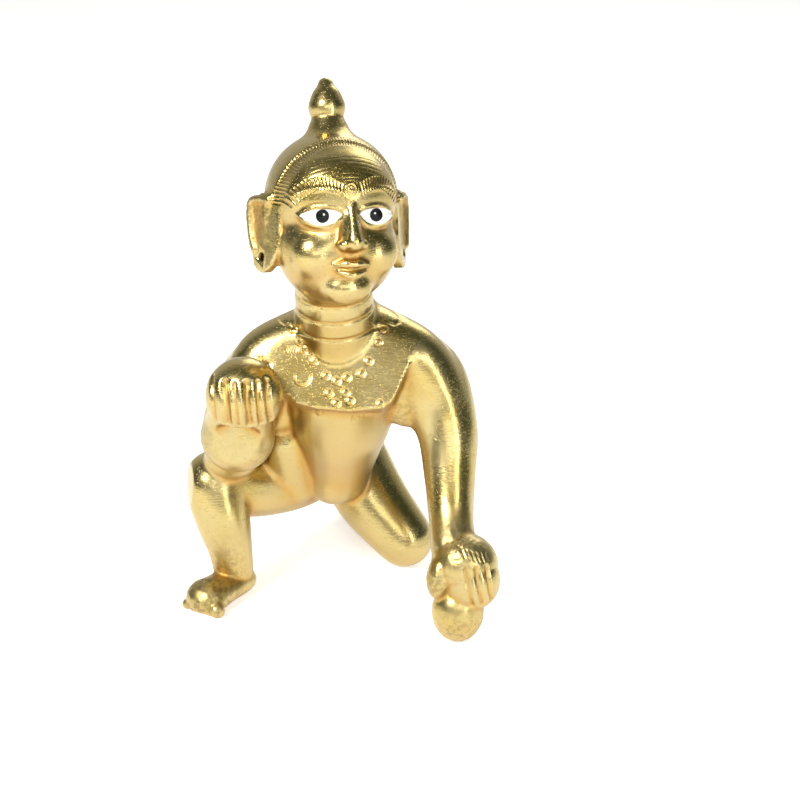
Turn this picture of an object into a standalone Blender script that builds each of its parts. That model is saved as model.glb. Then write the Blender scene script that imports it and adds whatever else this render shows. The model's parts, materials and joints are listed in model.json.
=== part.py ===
"""A cast brass figure of a crawling infant, kneeling on one knee with a round sweet in each hand.

The whole figure is one solid casting. It is made as a founder's pattern is made: round masses
are set in place and melted into one skin, finer masses are added and melted in, and the skin is
then filed flat, stepped and grooved. Last, the spots that it stands on are filed level and the
earring holes are drilled. +Z is up, the figure faces -Y, and its own left is +X. The origin is
on the ground under the middle of its bounding box.
"""

import math

import bmesh
import bpy
import numpy as np
from mathutils import Euler, Matrix, Vector
from mathutils.bvhtree import BVHTree
from mathutils.kdtree import KDTree

# Driving sizes, in metres.
HEIGHT = 0.105
EARRING_HOLE_WIDTH = 0.0016
TRIANGLES = 9200
DETAIL_PULL = 1.0

# The figure is drawn on a grid of its own, this many units tall, and scaled to HEIGHT.
GRID_HEIGHT = 102.0
UNIT = HEIGHT / GRID_HEIGHT

# Where the rings of a limb's round end lie, as degrees up its quarter circle.
END_RINGS = (22, 45, 68, 85)

# How finely the masses are worked, and how often they are rubbed smooth.
BODY_GRAIN, BODY_RUBS = 0.6, 9
DETAIL_GRAIN, DETAIL_RUBS = 0.36, 1

BRASS_COLOUR = (0.80, 0.58, 0.22, 1.0)
BRASS_ROUGHNESS = 0.22

# The head's middle, and how far it turns to its left, looks up and leans, in degrees.
HEAD_AT = Vector((-0.4, -16.4, 79.1))
HEAD_TURN, HEAD_LIFT, HEAD_LEAN = 17.0, 16.0, 3.0
HEAD_FRAME = (
    Matrix.Translation(HEAD_AT)
    @ Matrix.Rotation(math.radians(HEAD_LEAN), 4, "Y")
    @ Matrix.Rotation(math.radians(HEAD_TURN), 4, "Z")
    @ Matrix.Rotation(math.radians(-HEAD_LIFT), 4, "X")
)
BODY_FRAME = Matrix.Identity(4)
SIDES = (-1, 1)

# The face, in the head's own frame: heights of its lines above the middle of the head.
HAIRLINE, BROW_LINE, EYE_LINE, NOSE_BASE, MOUTH_LINE, CHIN = 13.2, 3.2, -0.6, -6.4, -9.7, -16.0
EYE_OUT, EYE_HALF_LENGTH, EYE_HALF_HEIGHT = 5.1, 3.6, 1.75
NOSE_FORWARD, NOSTRIL_OUT = 13.2, 1.75
EAR_THICKNESS, EAR_SPLAY = 1.9, 28.0
EARRING_HOLE_AT = (3.2, -7.6)

# The underside of the raised hand, above the ground.
PALM_HEIGHT = 42.3

# The folds round the front of the neck, as heights on its axis.
NECK_FOLDS = (64.0, 61.0, 57.6)

# The chest plate: the middle of its foot, how far it leans back in degrees, and how thick it is.
CHEST_FOOT = Vector((1.0, -21.4, 42.8))
CHEST_LEAN, CHEST_THICKNESS = 28.0, 9.0
CHEST_FRAME = (
    Matrix.Translation(CHEST_FOOT)
    @ Matrix.Rotation(math.radians(-CHEST_LEAN), 4, "X")
    @ Matrix.Translation((0, CHEST_THICKNESS / 2, 0))
)
# Its edge from armpit to armpit, across and up the plate; then how it closes, crisp or soft.
CHEST_EDGE = [(-14.0, 8.2), (-12.0, 4.5), (-8.9, 1.6), (-5.3, 0.6)]
CHEST_EDGE += [(1.0, 0.0), (7.4, 0.6), (9.2, 2.0), (12.4, 9.0)]
CRISP_TOP = [(9.4, 10.4), (0.0, 11.2), (-10.5, 10.4)]
SOFT_TOP = [(14.2, 11.0), (7.4, 14.4), (0.0, 16.6), (-8.6, 14.4), (-15.4, 11.0)]


def clear_scene():
    for item in list(bpy.data.objects):
        bpy.data.objects.remove(item, do_unlink=True)


# Masses


def skin_loops(bm, loops):
    """Faces between loops of corners, in order, with a flat face on the first and the last."""
    around = len(loops[0])
    for lower, upper in zip(loops, loops[1:]):
        for k in range(around):
            following = (k + 1) % around
            bm.faces.new((lower[k], lower[following], upper[following], upper[k]))
    bm.faces.new(reversed(loops[0]))
    bm.faces.new(loops[-1])


def ball(bm, at, radii, turn=(0, 0, 0), frame=BODY_FRAME, around=40):
    """An ellipsoid at a place, turned by degrees about X, Y and Z."""
    spin = Euler([math.radians(angle) for angle in turn]).to_matrix().to_4x4()
    place = frame @ Matrix.Translation(at) @ spin @ Matrix.Diagonal((*radii, 1))
    loops = []
    for rise in np.linspace(-math.pi / 2, math.pi / 2, around // 2 + 2)[1:-1]:
        loop = []
        for angle in np.arange(around) * 2 * math.pi / around:
            spot = (math.cos(rise) * math.cos(angle), math.cos(rise) * math.sin(angle), math.sin(rise))
            loop.append(bm.verts.new(place @ Vector(spot)))
        loops.append(loop)
    skin_loops(bm, loops)
    return [corner for loop in loops for corner in loop]


def smooth_path(stations, steps, closed=False):
    """Points on a smooth curve through the stations, which may hold a radius too."""
    if closed:
        knots = np.array([stations[-1], *stations, *stations[:2]], float)
    else:
        knots = np.array([stations[0], *stations, stations[-1]], float)
    out = []
    for before, start, end, after in zip(knots, knots[1:], knots[2:], knots[3:]):
        for t in np.arange(steps) / steps:
            bend = (2 * before - 5 * start + 4 * end - after) * t**2
            sway = (3 * start - before - 3 * end + after) * t**3
            out.append(start + 0.5 * ((end - before) * t + bend + sway))
    if not closed:
        out.append(knots[-1])
    return np.array(out)


def limb(bm, stations, frame=BODY_FRAME, flat=1.0, flat_along=(0, 0, 1), around=28, steps=6):
    """A round tapering limb through stations (x, y, z, radius), with round ends.

    flat squashes each ring along flat_along, so that a limb can be a strap or a foot.
    """
    path = smooth_path(stations, steps)
    first, last = path[0], path[-1]
    back = Vector(path[0][:3] - path[1][:3]).normalized()
    onward = Vector(path[-1][:3] - path[-2][:3]).normalized()
    ends = [(math.cos(angle), math.sin(angle)) for angle in np.radians(END_RINGS)]
    rings = []
    for width, rise in reversed(ends):
        rings.append((Vector(first[:3]) + back * first[3] * rise, -back, first[3] * width))
    for index, point in enumerate(path):
        ahead = path[min(index + 1, len(path) - 1)][:3]
        behind = path[max(index - 1, 0)][:3]
        rings.append((Vector(point[:3]), Vector(ahead - behind).normalized(), point[3]))
    for width, rise in ends:
        rings.append((Vector(last[:3]) + onward * last[3] * rise, onward, last[3] * width))
    squash = Vector(flat_along).normalized()
    side = rings[0][1].orthogonal()
    loops = []
    for centre, aim, radius in rings:
        side = (side - aim * side.dot(aim)).normalized()
        over = aim.cross(side)
        loop = []
        for k in range(around):
            angle = 2 * math.pi * k / around
            out = (side * math.cos(angle) + over * math.sin(angle)) * radius
            out -= squash * out.dot(squash) * (1 - flat)
            loop.append(bm.verts.new(frame @ (centre + out)))
        loops.append(loop)
    skin_loops(bm, loops)


def slab(bm, outline, thickness, frame):
    """A flat plate: an outline in the frame's X and Z, thick along its Y."""
    faces = []
    for y in (-thickness / 2, thickness / 2):
        corners = [bm.verts.new(frame @ Vector((x, y, z))) for x, z in outline]
        faces.append(corners)
    front, rear = faces
    bm.faces.new(front)
    bm.faces.new(reversed(rear))
    for k in range(len(outline)):
        following = (k + 1) % len(outline)
        bm.faces.new((front[following], front[k], rear[k], rear[following]))


def torso(bm):
    ball(bm, (-2.2, 13.5, 22.5), (8.8, 9.5, 8.6))
    limb(bm, [
        (0.4, -8.2, 43.4, 10.9),
        (0.0, -5.6, 37.0, 10.3),
        (-0.5, -2.3, 31.0, 9.0),
        (-1.0, 0.8, 25.0, 7.6),
        (-1.6, 2.4, 21.2, 7.0),
    ])
    ball(bm, (0.8, -6.0, 49.6), (16.5, 8.0, 6.6))
    limb(bm, [
        (-18.0, -12.6, 42.6, 5.4),
        (-14.4, -10.9, 49.4, 5.8),
        (-7.6, -9.3, 52.4, 6.3),
        (0.4, -7.6, 54.2, 7.0),
        (8.4, -9.3, 52.4, 6.3),
        (15.0, -10.7, 49.2, 5.9),
        (19.0, -11.6, 42.6, 5.6),
        (20.6, -13.6, 35.6, 4.8),
    ])
    slab(bm, CHEST_EDGE + SOFT_TOP, CHEST_THICKNESS, CHEST_FRAME)
    limb(bm, [(0.4, -3.0, 47.0, 9.5), (-1.0, 4.5, 37.5, 8.6), (-2.2, 11.5, 28.5, 8.2)])
    for side in SIDES:
        ball(bm, (-2.6 + side * 4.4, 18.0, 22.0), (6.6, 7.6, 8.4))


def neck(bm):
    limb(bm, [(0, -7, 49, 10.6), (-0.4, -9.6, 54.5, 8.5), (-0.8, -12.0, 60, 7.5), (-1, -14, 70, 7.4)])
    limb(bm, [(0, -2.5, 50, 8.0), (-0.5, -8.0, 61, 6.8)])


def left_arm(bm):
    limb(bm, [
        (9.0, -6.5, 49.0, 6.6),
        (16.4, -8.5, 45.2, 7.5),
        (20.4, -12.5, 36.5, 6.1),
        (21.0, -16.5, 29.0, 5.1),
        (21.2, -21.5, 21.5, 4.3),
        (21.6, -26.0, 17.0, 4.4),
    ])
    ball(bm, (12.6, -10.0, 42.0), (4.6, 5.0, 6.4))


def right_arm(bm):
    limb(bm, [
        (-9.0, -6.5, 49.0, 6.4),
        (-14.8, -8.5, 46.2, 7.0),
        (-18.4, -10.8, 41.0, 6.8),
        (-19.4, -14.0, 36.2, 7.1),
        (-19.2, -17.4, 36.4, 7.1),
    ])
    limb(bm, [(-19.2, -15.6, 36.4, 7.0), (-18.4, -19.0, 41.0, 6.4), (-17.4, -22.6, 46.5, 6.0)])
    ball(bm, (-21.0, -11.4, 29.6), (5.4, 4.6, 4.2))
    ball(bm, (-12.0, -6.4, 39.2), (4.4, 4.6, 6.2))


def right_leg(bm):
    limb(bm, [
        (-5.5, 13.5, 21.4, 8.8),
        (-10.5, 7.0, 19.8, 8.4),
        (-18.0, -1.5, 20.4, 7.2),
        (-24.8, -8.4, 23.4, 6.3),
    ])
    limb(bm, [(-10.8, -4.6, 30.6, 4.5), (-10.8, -2.6, 26.0, 4.8), (-9.8, 1.2, 19.5, 4.9)])
    limb(bm, [
        (-24.9, -9.0, 23.2, 6.1),
        (-23.3, -10.6, 16.5, 5.5),
        (-22.0, -10.4, 9.5, 4.4),
        (-21.6, -9.6, 4.6, 4.0),
    ])


def left_leg(bm):
    limb(bm, [(1.4, 12.5, 19.5, 7.8), (5.8, 8.4, 12.6, 7.4), (12.3, 4.2, 5.6, 6.1)])
    limb(bm, [
        (12.0, 5.2, 5.4, 5.9),
        (10.0, 12.5, 4.8, 5.3),
        (6.4, 22.0, 4.0, 4.3),
        (4.2, 28.0, 3.5, 3.8),
    ])


def head(bm):
    ball(bm, (0, 2.2, 2.8), (12.0, 13.2, 12.4), frame=HEAD_FRAME)
    ball(bm, (0, -0.6, -5.6), (11.1, 10.4, 10.6), frame=HEAD_FRAME)
    ball(bm, (0, -2.4, 3.0), (10.8, 9.6, 9.8), frame=HEAD_FRAME)
    limb(bm, [(0, 1.6, 7.5, 9.4), (0, 2.2, 12.0, 6.4), (0, 2.6, 15.4, 3.8)], frame=HEAD_FRAME)
    for side in SIDES:
        ball(bm, (side * 5.4, -5.6, -6.8), (4.6, 4.6, 4.8), frame=HEAD_FRAME)
    ball(bm, (0, -6.6, CHIN + 3.0), (4.8, 3.6, 3.4), frame=HEAD_FRAME)


def topknot(bm):
    limb(
        bm,
        [
            (0, 2.6, 15.4, 2.9),
            (0, 2.7, 16.4, 3.0),
            (0, 2.8, 17.5, 2.85),
            (0, 2.9, 18.7, 3.3),
            (0, 3.0, 19.9, 3.45),
            (0, 3.1, 21.3, 3.0),
            (0, 3.2, 22.6, 2.4),
            (0, 3.3, 23.6, 1.55),
        ],
        frame=HEAD_FRAME,
    )


def nose(bm):
    tip = NOSE_BASE + 1.2
    root = BROW_LINE - 1.0
    ridge = [(0, -10.9, root, 0.9), (0, -12.1, root - 3.6, 1.1)]
    ridge += [(0, 0.1 - NOSE_FORWARD, tip + 0.6, 1.4), (0, -NOSE_FORWARD, tip, 1.45)]
    limb(bm, ridge, frame=HEAD_FRAME)
    bed = [(0, -10.0, root, 1.4), (0, -10.7, root - 3.6, 1.9), (0, -11.2, tip + 0.6, 2.2)]
    limb(bm, bed, frame=HEAD_FRAME)
    for side in SIDES:
        wing = (side * NOSTRIL_OUT, 1.5 - NOSE_FORWARD, tip - 0.3)
        ball(bm, wing, (1.15, 1.7, 1.1), frame=HEAD_FRAME, around=20)


def lips(bm):
    line = MOUTH_LINE
    upper = [(-3.1, -10.3, line + 0.4, 0.45), (-1.2, -11.3, line + 0.8, 0.8), (0, -11.5, line + 0.6, 0.75)]
    upper += [(-x, y, z, radius) for x, y, z, radius in reversed(upper[:2])]
    lower = [(-2.4, -10.5, line - 0.5, 0.5), (0, -11.3, line - 1.1, 1.0), (2.4, -10.5, line - 0.5, 0.5)]
    for lip in (upper, lower):
        limb(bm, lip, frame=HEAD_FRAME, around=16)


def eyes(bm):
    for side in SIDES:
        at = (side * EYE_OUT, -7.5, EYE_LINE)
        ball(bm, at, (3.7, 3.4, 2.3), turn=(0, 0, side * 24), frame=HEAD_FRAME)


def ear_frame(side):
    """The frame of an ear plate: X runs back and out from the head, Y is its thickness, Z is up."""
    splay = math.radians(EAR_SPLAY)
    along = Vector((side * math.sin(splay), math.cos(splay), 0))
    upward = Vector((0, 0, 1))
    across = upward.cross(along)
    turn = Matrix((along, across, upward)).transposed().to_4x4()
    return HEAD_FRAME @ Matrix.Translation((side * 11.2, -0.6, 0.4)) @ turn


def ear(bm, side):
    frame = ear_frame(side)
    outline = [(-1.5, 2.6), (2.8, 3.6), (5.9, 3.2), (6.7, 0.6), (6.3, -4.0)]
    outline += [(5.6, -8.6), (4.4, -10.2), (2.4, -10.4), (0.2, -8.6), (-1.5, -5.0)]
    slab(bm, smooth_path(outline, 4, closed=True), EAR_THICKNESS, frame)
    outer_face = -side * EAR_THICKNESS / 2
    rim = [(0.6, 2.4), (3.0, 2.9), (5.4, 2.4), (5.9, 0.2), (5.6, -3.8), (5.0, -6.2)]
    limb(bm, [(x, outer_face, z, 0.75) for x, z in rim], frame=frame, around=14)


def right_hand(bm):
    """A cupped hand, its fingers up around the front of the sweet."""
    cupped = ball(bm, (-17.2, -24.0, 46.9), (7.2, 6.9, 7.2), around=64)
    for corner in cupped:
        corner.co.z = max(corner.co.z, PALM_HEIGHT + 0.07 * abs(corner.co.x + 17))


def left_hand(bm):
    """A fist closed over a sweet that stands on the ground."""
    ball(bm, (23.7, -27.6, 14.4), (6.4, 5.9, 6.0), turn=(0, 14, 0))
    ball(bm, (25.0, -28.8, 11.6), (5.4, 5.2, 5.8), turn=(0, 14, 0))
    ball(bm, (18.9, -29.6, 12.6), (2.5, 3.2, 4.3), turn=(0, 6, 0))
    ball(bm, (22.4, -29.0, 5.4), (5.0, 5.0, 6.0))


def foot(bm, heel, ball_of_foot, toe_from, toe_to, width, toe_widths):
    """A foot from the heel to the ball, and five toes in a row from the big one to the small."""
    middle = Vector(heel).lerp(Vector(ball_of_foot), 0.5)
    limb(bm, [(*heel, width * 0.86), (*middle, width * 0.88), (*ball_of_foot, width)], flat=0.76)
    toes = 5
    for toe in range(toes):
        share = toe / (toes - 1)
        tip = Vector(toe_from).lerp(Vector(toe_to), share)
        root = Vector(ball_of_foot).lerp(tip, 0.35)
        radius = toe_widths[0] + (toe_widths[1] - toe_widths[0]) * share
        limb(bm, [(*root, radius), (*tip, radius)], steps=3, around=16)


def right_foot(bm):
    toes = ((-24.0, -20.6, 1.3), (-30.2, -16.8, 0.9))
    foot(bm, (-21.0, -9.2, 2.6), (-26.0, -16.6, 2.5), *toes, 4.5, (1.6, 1.1))


def left_foot(bm):
    toes = ((-1.6, 37.8, 1.2), (4.6, 38.6, 0.8))
    foot(bm, (4.2, 28.4, 3.6), (2.4, 34.6, 2.9), *toes, 4.2, (1.5, 1.1))


def chest_plate(bm):
    """The plate again, for its crisp edge; its top lies flush in the soft one."""
    slab(bm, CHEST_EDGE + CRISP_TOP, CHEST_THICKNESS, CHEST_FRAME)


SOFT_MASSES = (torso, neck, left_arm, right_arm, right_leg, left_leg, head)
CRISP_MASSES = (chest_plate, topknot, nose, lips, eyes, right_hand, left_hand, right_foot, left_foot)


# Working the skin


def melt(bm, name, grain, rubs):
    """Turns overlapping masses into one skin, and rubs it smooth."""
    mesh = bpy.data.meshes.new(name)
    bmesh.ops.recalc_face_normals(bm, faces=bm.faces)
    bm.to_mesh(mesh)
    bm.free()
    item = bpy.data.objects.new(name, mesh)
    bpy.context.scene.collection.objects.link(item)
    skin = item.modifiers.new("skin", "REMESH")
    skin.mode = "VOXEL"
    skin.voxel_size = grain
    rub = item.modifiers.new("rub", "SMOOTH")
    rub.factor = 0.5
    rub.iterations = rubs
    apply_modifiers(item)
    return item


def apply_modifiers(item):
    bpy.context.view_layer.objects.active = item
    for modifier in list(item.modifiers):
        bpy.ops.object.modifier_apply(modifier=modifier.name)


def corners_of(item):
    corners = np.empty(len(item.data.vertices) * 3)
    item.data.vertices.foreach_get("co", corners)
    return corners.reshape(-1, 3)


def normals_of(item):
    normals = np.empty(len(item.data.vertices) * 3)
    item.data.vertices.foreach_get("normal", normals)
    return normals.reshape(-1, 3)


def place_corners(item, corners):
    item.data.vertices.foreach_set("co", np.ascontiguousarray(corners).ravel())
    item.data.update()


def in_frame(corners, frame):
    """World corners as seen in a frame."""
    back = np.array(frame.inverted())
    return corners @ back[:3, :3].T + back[:3, 3]


def swell(item, amount):
    """Moves every corner out along its normal; amount is one number for each corner."""
    place_corners(item, corners_of(item) + normals_of(item) * amount[:, None])


def file_flat(item, at, facing, reach, fade=0.0):
    """Files the skin down to a plane through a spot, within a reach of it, less over the fade."""
    corners = corners_of(item)
    facing = np.array(Vector(facing).normalized())
    away = corners - np.array(at)
    proud = away @ facing
    beside = np.linalg.norm(away - proud[:, None] * facing, axis=1)
    filed = (proud > 0) & (beside < reach) & (proud < reach)
    share = np.clip((reach - beside) / fade, 0, 1) if fade else np.ones(len(corners))
    corners[filed] -= (proud * share * share * (3 - 2 * share))[filed, None] * facing
    place_corners(item, corners)


def tree_of(item):
    bm = bmesh.new()
    bm.from_mesh(item.data)
    tree = BVHTree.FromBMesh(bm)
    bm.free()
    return tree


def on_skin(item, lines, aim, frame=BODY_FRAME, start=40.0):
    """Where lines of points land on the skin when they are pushed along aim in the frame."""
    tree = tree_of(item)
    aim_in = Vector(aim)
    push = frame.to_3x3() @ aim_in
    landed = []
    for line in lines:
        hits = (tree.ray_cast(frame @ (Vector(point) - aim_in * start), push)[0] for point in line)
        landed.append([hit for hit in hits if hit])
    return landed


def strokes(item, lines, width, height, sharp=1.0, step=0.2):
    """Raises, or with a negative height cuts, a stroke along each line of points on the skin."""
    spots = []
    for line in lines:
        for start, end in zip(line, line[1:]):
            count = max(1, round((end - start).length / step))
            spots += [start.lerp(end, k / count) for k in range(count)]
        spots += line[-1:]
    tree = KDTree(len(spots))
    for index, spot in enumerate(spots):
        tree.insert(spot, index)
    tree.balance()
    corners = corners_of(item)
    cloud = np.array(spots)
    near = np.all((corners > cloud.min(axis=0) - width) & (corners < cloud.max(axis=0) + width), axis=1)
    amount = np.zeros(len(corners))
    for index in np.flatnonzero(near):
        distance = tree.find(corners[index])[2]
        amount[index] = height * max(0.0, 1 - distance / width) ** sharp
    swell(item, amount)


def line_between(start, end, count=12):
    return [Vector(start).lerp(Vector(end), k / (count - 1)) for k in range(count)]


def step_up(signed, width):
    """Zero below the edge and one above it, with a short smooth rise."""
    t = np.clip(signed / width * 0.5 + 0.5, 0, 1)
    return t * t * (3 - 2 * t)


def mound(distance, width):
    return np.exp(-((distance / width) ** 2))


def carve_face(item):
    """Eye sockets, lids and brows, in the head's own frame."""
    spots = in_frame(corners_of(item), HEAD_FRAME)
    x, y, z = np.abs(spots[:, 0]), spots[:, 1], spots[:, 2]
    front = step_up(-5.0 - y, 2.0) * (np.linalg.norm(spots, axis=1) < 18)
    along = (x - EYE_OUT) / EYE_HALF_LENGTH
    lid_line = EYE_LINE + 0.5 * along**2
    half_height = EYE_HALF_HEIGHT * np.clip(1 - along**2, 0, 1) ** 0.7
    from_rim = np.abs(z - lid_line) - half_height
    past_corner = np.clip(np.abs(along) - 1, 0, None) * EYE_HALF_LENGTH
    rim = mound(np.hypot(from_rim, past_corner), 0.42)
    inside = step_up(-from_rim, 0.4) * (np.abs(along) < 1)
    socket = mound(np.hypot((x - EYE_OUT) / 1.8, z - EYE_LINE - 0.2), 2.6)
    brow_line = BROW_LINE + 1.3 * (1 - ((x - 5.4) / 4.6) ** 2)
    brow = mound(z - brow_line, 0.55) * step_up(x - 1.4, 0.8) * step_up(9.6 - x, 1.2)
    swell(item, front * (0.42 * rim - 0.3 * inside - 0.45 * socket + 0.32 * brow))


def carve_hair(item):
    """The hair is a cap that stands a little proud of the face."""
    spots = in_frame(corners_of(item), HEAD_FRAME)
    x, y, z = np.abs(spots[:, 0]), spots[:, 1], spots[:, 2]
    behind = 0.928 * (y + 5.4) + 0.371 * (z - HAIRLINE)
    cap = step_up(behind, 0.5) * step_up(z + 8.0, 1.5) * (x < 12.9) * step_up(15.0 - z, 4.0)
    swell(item, 0.3 * cap)


def carve_mouth(item):
    smile = [(x, 0, MOUTH_LINE - 0.25 + 0.035 * x * x) for x in np.linspace(-3.2, 3.2, 17)]
    strokes(item, on_skin(item, [smile], (0, 1, 0), HEAD_FRAME), 0.5, -0.5)


def carve_neck(item):
    """Three folds round the front of the neck, each a ring tilted like the neck itself."""
    tree = tree_of(item)
    folds = []
    for height in NECK_FOLDS:
        middle = Vector((-0.5, -9.6 - 0.43 * (height - 54.5), height))
        fold = []
        for degrees in range(-110, 111, 5):
            angle = math.radians(degrees)
            out = Vector((math.sin(angle), -math.cos(angle), -0.25 * math.cos(angle)))
            fold.append(tree.ray_cast(middle + out * 9.6, -out)[0])
        folds.append([spot for spot in fold if spot])
    strokes(item, folds, 0.6, -0.3)


def carve_hands(item):
    for x, width in ((-22.8, 0.7), (-20.3, 1.1), (-18.4, 0.6), (-16.2, 1.1), (-14.3, 0.7), (-12.6, 0.9)):
        groove = line_between((x, 0, PALM_HEIGHT + 8.8), (x + 0.5, 0, PALM_HEIGHT + 1.0))
        strokes(item, on_skin(item, [groove], (0, 1, 0)), width, -0.95 * width)
    leaning = []
    for x in (23.6, 25.6, 27.6):
        leaning.append(line_between((x, 0, 17.2 - 0.05 * x), (x + 1.2, 0, 8.6)))
    strokes(item, on_skin(item, leaning, (0, 1, 0)), 0.7, -0.6)


def file_facets(item):
    """The broad flats that the polisher's wheel left on the elbow and the knee."""
    file_flat(item, (-19.0, -23.1, 36.0), (0.0, -0.995, 0.1), 6.2, fade=1.4)
    file_flat(item, (-29.8, -9.5, 22.5), (-0.95, -0.25, 0.1), 8.0)


def build_figure(grain=DETAIL_GRAIN):
    """The finished skin, on the grid, before it is scaled and filed to stand."""
    soft = bmesh.new()
    for mass in SOFT_MASSES:
        mass(soft)
    body = melt(soft, "body", BODY_GRAIN, BODY_RUBS)
    file_facets(body)
    crisp = bmesh.new()
    for mass in CRISP_MASSES:
        mass(crisp)
    for side in SIDES:
        ear(crisp, side)
    crisp.from_mesh(body.data)
    bpy.data.objects.remove(body, do_unlink=True)
    figure = melt(crisp, "laddu_gopal_idol", grain, DETAIL_RUBS)
    carve_hair(figure)
    carve_face(figure)
    carve_mouth(figure)
    carve_neck(figure)
    carve_hands(figure)
    return figure


def plainness(item):
    """One on the plain limbs, and less on the face and the hands, which keep more of their carving."""
    corners = corners_of(item)
    x, y, z = in_frame(corners, HEAD_FRAME).T
    weight = np.ones(len(corners))
    weight[(y < -4) & (z > -13) & (z < 6) & (np.abs(x) < 10)] = 0.4
    for hand in (Vector((-17.2, -27.0, 46.0)), Vector((24.5, -31.0, 12.0))):
        weight[np.linalg.norm(corners - np.array(hand), axis=1) < 9] = 0.6
    return weight


def thin_out(item):
    """Leaves about TRIANGLES faces, most of them where the carving is."""
    plain = item.vertex_groups.new(name="plain")
    for index, weight in enumerate(plainness(item)):
        plain.add([index], weight, "REPLACE")
    thin = item.modifiers.new("thin", "DECIMATE")
    thin.vertex_group = plain.name
    thin.vertex_group_factor = DETAIL_PULL
    thin.ratio = TRIANGLES / (2 * len(item.data.polygons))
    thin.use_collapse_triangulate = True
    apply_modifiers(item)


def stand(item):
    """Scales the figure to its height above the ground, and files level all that is below it."""
    corners = corners_of(item)
    scale = HEIGHT / corners[:, 2].max()
    corners *= scale
    low, high = corners.min(axis=0), corners.max(axis=0)
    middle = Vector(((low[0] + high[0]) / 2, (low[1] + high[1]) / 2, 0))
    place_corners(item, corners - np.array(middle))
    bm = bmesh.new()
    bm.from_mesh(item.data)
    everything = bm.verts[:] + bm.edges[:] + bm.faces[:]
    cut = bmesh.ops.bisect_plane(
        bm, geom=everything, dist=1e-6, plane_co=(0, 0, 0), plane_no=(0, 0, -1), clear_outer=True
    )
    rims = [part for part in cut["geom_cut"] if isinstance(part, bmesh.types.BMEdge)]
    bmesh.ops.holes_fill(bm, edges=rims, sides=0)
    bmesh.ops.triangulate(bm, faces=bm.faces)
    bm.to_mesh(item.data)
    bm.free()
    return Matrix.Translation(-middle) @ Matrix.Scale(scale, 4)


def drill_earrings(item, placed):
    """A hole for an earring through each lobe, square to the ear."""
    for side in SIDES:
        x, z = EARRING_HOLE_AT
        frame = placed @ ear_frame(side) @ Matrix.Translation((x, 0, z))
        bpy.ops.mesh.primitive_cylinder_add(
            vertices=16, radius=EARRING_HOLE_WIDTH / 2, depth=2.2 * EAR_THICKNESS * UNIT
        )
        drill = bpy.context.object
        drill.name = f"drill_{side}"
        aim = frame.to_3x3().normalized() @ Matrix.Rotation(math.radians(90), 3, "X")
        drill.matrix_world = Matrix.LocRotScale(frame.to_translation(), aim.to_quaternion(), None)
        drill.hide_render = True
        drill.display_type = "WIRE"
        hole = item.modifiers.new("hole", "BOOLEAN")
        hole.operation = "DIFFERENCE"
        hole.solver = "EXACT"
        hole.object = drill
        apply_modifiers(item)
        bpy.data.objects.remove(drill, do_unlink=True)


def finish(item):
    """Sets the brass and smooth shading."""
    brass = bpy.data.materials.new("brass")
    brass.use_nodes = True
    surface = brass.node_tree.nodes["Principled BSDF"]
    surface.inputs["Base Color"].default_value = BRASS_COLOUR
    surface.inputs["Metallic"].default_value = 1.0
    surface.inputs["Roughness"].default_value = BRASS_ROUGHNESS
    item.data.materials.clear()
    item.data.materials.append(brass)
    for face in item.data.polygons:
        face.use_smooth = True


clear_scene()
idol = build_figure()
thin_out(idol)
placed = stand(idol)
drill_earrings(idol, placed)
finish(idol)
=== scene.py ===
"""A cast brass figure of a crawling infant, with its finished skin, chased marks and enamelled eyes.

The figure is made as its founder's pattern was: masses melted into one skin, then filed, stepped
and grooved on a grid of its own. It is set in the place of the solid in the frame, chased with the
fine marks that are too small for the solid, and given its polish, its cast patches and its enamel.
"""

import json
import math

import bmesh
import bpy
import numpy as np
from mathutils import Euler, Matrix, Vector, noise
from mathutils.bvhtree import BVHTree
from mathutils.kdtree import KDTree

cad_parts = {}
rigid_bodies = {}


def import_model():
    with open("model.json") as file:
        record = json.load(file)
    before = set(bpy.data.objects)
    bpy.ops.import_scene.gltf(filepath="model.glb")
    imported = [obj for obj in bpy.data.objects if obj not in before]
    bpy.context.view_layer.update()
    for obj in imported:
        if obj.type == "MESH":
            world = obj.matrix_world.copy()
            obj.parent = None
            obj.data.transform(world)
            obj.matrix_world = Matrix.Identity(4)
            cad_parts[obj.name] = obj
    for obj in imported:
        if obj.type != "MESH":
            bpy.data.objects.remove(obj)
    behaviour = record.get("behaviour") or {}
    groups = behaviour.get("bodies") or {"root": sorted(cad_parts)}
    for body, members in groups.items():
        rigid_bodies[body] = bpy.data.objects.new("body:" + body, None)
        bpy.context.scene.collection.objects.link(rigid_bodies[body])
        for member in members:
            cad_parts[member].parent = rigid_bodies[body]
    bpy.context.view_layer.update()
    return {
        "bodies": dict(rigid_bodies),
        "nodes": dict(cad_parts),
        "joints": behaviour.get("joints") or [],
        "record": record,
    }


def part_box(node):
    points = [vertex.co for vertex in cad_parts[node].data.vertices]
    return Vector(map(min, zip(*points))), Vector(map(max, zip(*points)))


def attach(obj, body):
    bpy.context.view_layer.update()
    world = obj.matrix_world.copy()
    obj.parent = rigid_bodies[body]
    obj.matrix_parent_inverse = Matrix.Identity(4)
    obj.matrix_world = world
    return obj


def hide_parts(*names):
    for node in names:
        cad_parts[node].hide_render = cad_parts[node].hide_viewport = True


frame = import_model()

NODE = "laddu_gopal_idol"

# In metres. The figure's other sizes are on a grid of its own, scaled to the solid's height.
EARRING_HOLE_WIDTH = 0.0016

# Where the rings of a limb's round end lie, as degrees up its quarter circle.
END_RINGS = (22, 45, 68, 85)

# How finely the masses are worked, and how often they are rubbed smooth.
BODY_GRAIN, BODY_RUBS = 0.6, 9
DETAIL_GRAIN, DETAIL_RUBS = 0.36, 1

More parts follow.
